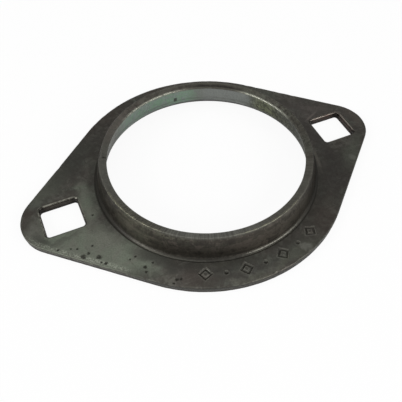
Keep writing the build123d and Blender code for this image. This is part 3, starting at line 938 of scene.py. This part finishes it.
# Painted highlight on the raised lips round the stamped marks.
colour = g.mix(g.mul(g.attr("raised"), g.ramp(ragged, 0.44, 0.56, 0.15, 0.75)), colour, (0.190, 0.186, 0.168))
colour = g.mix(g.mul(pits, 0.85), colour, (0.024, 0.022, 0.017))
colour = g.mix(g.mul(scratch, g.mul(0.35, z["top"])), colour, (0.210, 0.208, 0.196))
colour = g.mix(1.0, colour, (0.985, 0.998, 0.93), "MULTIPLY")
darken = g.ramp(fine, 0.35, 0.68, 0.0, 0.20)
colour = g.mix(darken, colour, (0.030, 0.028, 0.026))

rough = g.ramp(cloud, 0.3, 0.7, 0.40, 0.33)
rough = g.add(rough, g.ramp(mid, 0.3, 0.8, 0.04, -0.04))
rough = g.mixf(sheen_patch, rough, 0.30)
rough = g.mixf(g.mul(grime_and_shade, z["top"]), rough, 0.42)
rough = g.mixf(z["wall"], rough, g.ramp(band, 0.3, 0.7, 0.36, 0.46))
rough = g.mixf(z["foot"], rough, g.mixf(sector(176, 30, 8), g.ramp(foot_glint, 0.0, 0.8, 0.54, 0.25), 0.70))
rough = g.mixf(z["seat"], rough, g.ramp(drag, 0.3, 0.7, 0.26, 0.36))
rough = g.mixf(g.mul(z["seat"], sector(3, 28, 8)), rough, 0.50)
rough = g.mixf(z["bend"], rough, 0.36)
rough = g.mixf(z["edge"], rough, g.mixf(upper, 0.58, g.ramp(ragged, 0.38, 0.58, 0.50, 0.36)))
rough = g.mixf(g.mul(z["edge"], shoulder), rough, 0.48)
rough = g.mixf(z["rim"], rough, 0.50)
rough = g.mixf(g.math("MAXIMUM", lip_in_glint, lip_out_glint), rough, 0.24)
rough = g.mixf(z["hole"], rough, g.mixf(upper, 0.55, 0.34))
rough = g.mixf(g.mul(z["hole"], rolled), rough, 0.24)
rough = g.mixf(pits, rough, 0.65)

height = g.add(g.mul(fine, 0.009), g.mul(grain, 0.003))
height = g.add(height, g.mul(mid, 0.014))
height = g.add(height, g.mul(g.mul(roll_lines, 0.004), g.math("MAXIMUM", z["top"], z["back"])))
height = g.add(height, g.mul(g.mul(tear, 0.06), z["rim"]))
height = g.add(height, g.mul(g.mul(drag, 0.006), g.math("MAXIMUM", z["wall"], z["seat"])))
height = g.add(height, g.mul(g.mul(fine, g.math("SUBTRACT", 1.0, upper)), g.mul(0.05, g.math("MAXIMUM", z["edge"], z["hole"]))))
height = g.add(height, g.mul(pits, -0.035))
height = g.add(height, g.mul(scratch, -0.006))
bump = g.node("ShaderNodeBump", {"Strength": 1.0, "Distance": 0.001, "Height": height})

bsdf = g.node("ShaderNodeBsdfPrincipled", {
    "Base Color": colour,
    "Roughness": rough,
    "Metallic": 0.88,
    "Normal": bump.outputs[0],
    "Coat Weight": 0.08,
    "Coat Roughness": 0.22,
})
g.t.links.new(bsdf.outputs[0], g.out.inputs[0])
piece.data.materials.append(g.mat)

# --------------------------------------------------------------------------------------
# 3. Camera, floor, light
# --------------------------------------------------------------------------------------
right = Vector((0.9013002, -0.4325032, 0.0244724))
down = Vector((-0.3239139, -0.7103663, -0.6248676))
forward = Vector((0.2876416, 0.5552663, -0.7803471))
cam_data = bpy.data.cameras.new("camera")
cam = bpy.data.objects.new("camera", cam_data)
bpy.context.scene.collection.objects.link(cam)
m = Matrix((
    (right.x, -down.x, -forward.x, -0.04324735),
    (right.y, -down.y, -forward.y, -0.10293720),
    (right.z, -down.z, -forward.z, 0.12556709),
    (0, 0, 0, 1),
))
cam.matrix_world = m
cam_data.sensor_width = 36.0
cam_data.lens = 535.8611 / 402 * 36.0
cam_data.shift_x = (201 - 235) / 402
cam_data.shift_y = 0.0
cam_data.clip_start, cam_data.clip_end = 0.005, 50
cam_data.dof.use_dof = False
bpy.context.scene.camera = cam


def plain(name, colour, rough=0.9):
    k = Nodes(name)
    b = k.node("ShaderNodeBsdfPrincipled", {"Base Color": colour, "Roughness": rough, "Specular IOR Level": 0.2})
    k.t.links.new(b.outputs[0], k.out.inputs[0])
    return k.mat


floor_me = bpy.data.meshes.new("floor")
floor_me.from_pydata([(-3, -3, -0.00002), (3, -3, -0.00002), (3, 3, -0.00002), (-3, 3, -0.00002)], [], [(0, 1, 2, 3)])
paper = plain("floor", (0.92, 0.92, 0.92))
pt = paper.node_tree
lit = [n for n in pt.nodes if n.type == "BSDF_PRINCIPLED"][0]
white = pt.nodes.new("ShaderNodeEmission")
bright = pt.nodes.new("ShaderNodeMixShader")
path = pt.nodes.new("ShaderNodeLightPath")
share = pt.nodes.new("ShaderNodeMath")
share.operation = "MULTIPLY"
share.inputs[1].default_value = 0.92
pt.links.new(path.outputs["Is Camera Ray"], share.inputs[0])
pt.links.new(share.outputs[0], bright.inputs[0])
pt.links.new(lit.outputs[0], bright.inputs[1])
pt.links.new(white.outputs[0], bright.inputs[2])
pt.links.new(bright.outputs[0], [n for n in pt.nodes if n.type == "OUTPUT_MATERIAL"][0].inputs[0])
floor_me.materials.append(paper)
floor = bpy.data.objects.new("floor", floor_me)
bpy.context.scene.collection.objects.link(floor)


def softbox(name, place, aim, size, power, colour=(1, 1, 1)):
    d = bpy.data.lights.new(name, "AREA")
    d.shape = "RECTANGLE"
    d.size, d.size_y = size
    d.energy = power
    d.color = colour
    o = bpy.data.objects.new(name, d)
    o.location = place
    o.rotation_mode = "QUATERNION"
    o.rotation_quaternion = (Vector(place) - Vector(aim)).to_track_quat("Z", "Y")
    bpy.context.scene.collection.objects.link(o)
    return o


def from_direction(name, azimuth, elevation, distance, size, radiance, colour=(1, 1, 1)):
    """A softbox seen from the part in that direction, as bright as `radiance`."""
    a, e = math.radians(azimuth), math.radians(elevation)
    place = (distance * math.cos(e) * math.cos(a), distance * math.cos(e) * math.sin(a), distance * math.sin(e))
    return softbox(name, place, (0, 0, 0), size, radiance * math.pi * size[0] * size[1], colour)


from_direction("left_panel", 180, 31, 0.9, (0.56, 0.42), 5.6)
from_direction("front_right_panel", 304, 31, 0.9, (0.72, 0.46), 4.6)
from_direction("top_back", 75, 64, 1.1, (0.62, 0.56), 0.90)
from_direction("back_left", 122, 44, 1.1, (0.50, 0.40), 0.50)
from_direction("low_back", 60, 20, 1.1, (0.80, 0.36), 0.75)
from_direction("ceiling", 270, 83, 1.1, (0.90, 0.62), 0.80)
from_direction("low_right", 358, 26, 1.2, (0.50, 0.34), 0.60)
from_direction("low_front", 252, 30, 1.3, (0.46, 0.34), 0.50)
from_direction("high_front", 240, 58, 1.2, (0.60, 0.46), 0.55)
from_direction("high_left", 165, 61, 1.2, (0.56, 0.46), 0.65)

world = bpy.data.worlds.new("studio")
bpy.context.scene.world = world
world.use_nodes = True
wt = world.node_tree
wt.nodes.clear()
wo = wt.nodes.new("ShaderNodeOutputWorld")
room = wt.nodes.new("ShaderNodeBackground")
room.inputs[0].default_value = (1, 1, 1, 1)
room.inputs[1].default_value = 0.20
seen = wt.nodes.new("ShaderNodeBackground")
seen.inputs[0].default_value = (1, 1, 1, 1)
seen.inputs[1].default_value = 1.0
lp = wt.nodes.new("ShaderNodeLightPath")
wm = wt.nodes.new("ShaderNodeMixShader")
wt.links.new(lp.outputs["Is Camera Ray"], wm.inputs[0])
wt.links.new(room.outputs[0], wm.inputs[1])
wt.links.new(seen.outputs[0], wm.inputs[2])
wt.links.new(wm.outputs[0], wo.inputs[0])

bpy.context.scene.view_settings.view_transform = "Standard"
bpy.context.scene.view_settings.look = "None"
bpy.context.scene.view_settings.exposure = 0.0
bpy.context.scene.view_settings.gamma = 1.0
